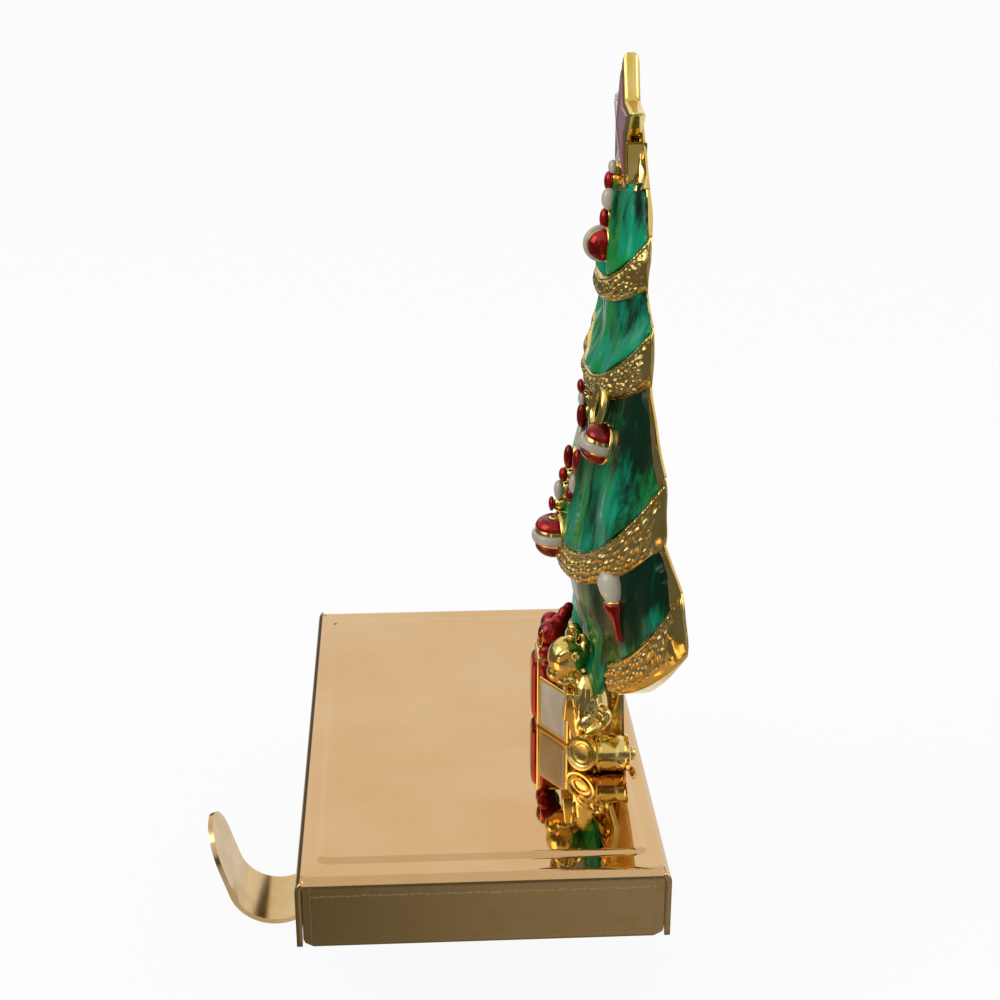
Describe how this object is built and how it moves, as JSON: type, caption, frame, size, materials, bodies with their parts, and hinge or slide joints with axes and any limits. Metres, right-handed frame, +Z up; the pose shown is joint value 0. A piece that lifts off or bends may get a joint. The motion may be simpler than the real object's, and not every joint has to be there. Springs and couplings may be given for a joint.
{
  "type": "mantel stocking holder",
  "caption": "Weighted mantel stocking holder: a boxed gilt base with an enamelled cast tree on it and a flat strip hook hanging in front.",
  "frame": {"origin": "middle of the base pad's underside, where the holder stands on the mantel", "axes": "+Z up; +X along the mantel, to the right seen from the room; +Y back towards the wall, so the hook hangs on the -Y side"},
  "size_m": [0.127, 0.1036, 0.2013],
  "materials": {
    "base_gold": "satin polished plate, pale rosy gold",
    "hook_gold": "polished plated strip, pale gold",
    "tree_gold": "bright polished plated casting, yellow gold",
    "slab_iron": "as cast, hidden",
    "pad_rubber": "matt black non-slip sheet",
    "screw_steel": "zinc plated",
    "green_enamel": "glossy translucent enamel, streaked dark to mid green",
    "red_enamel": "glossy translucent enamel, deep red",
    "white_enamel": "glossy opaque enamel, greyish white",
    "lilac_enamel": "glossy enamel, greyish lilac"
  },
  "bodies": {
    "root": {"base_cover": "base_gold", "base_weight": "slab_iron", "base_pad": "pad_rubber", "hook": "hook_gold", "hook_screw": "screw_steel", "tree_screws": "screw_steel", "tree_casting": "tree_gold", "star_enamel": "lilac_enamel", "green_enamel": "green_enamel", "red_enamel": "red_enamel", "white_enamel": "white_enamel"}
  },
  "joints": []
}
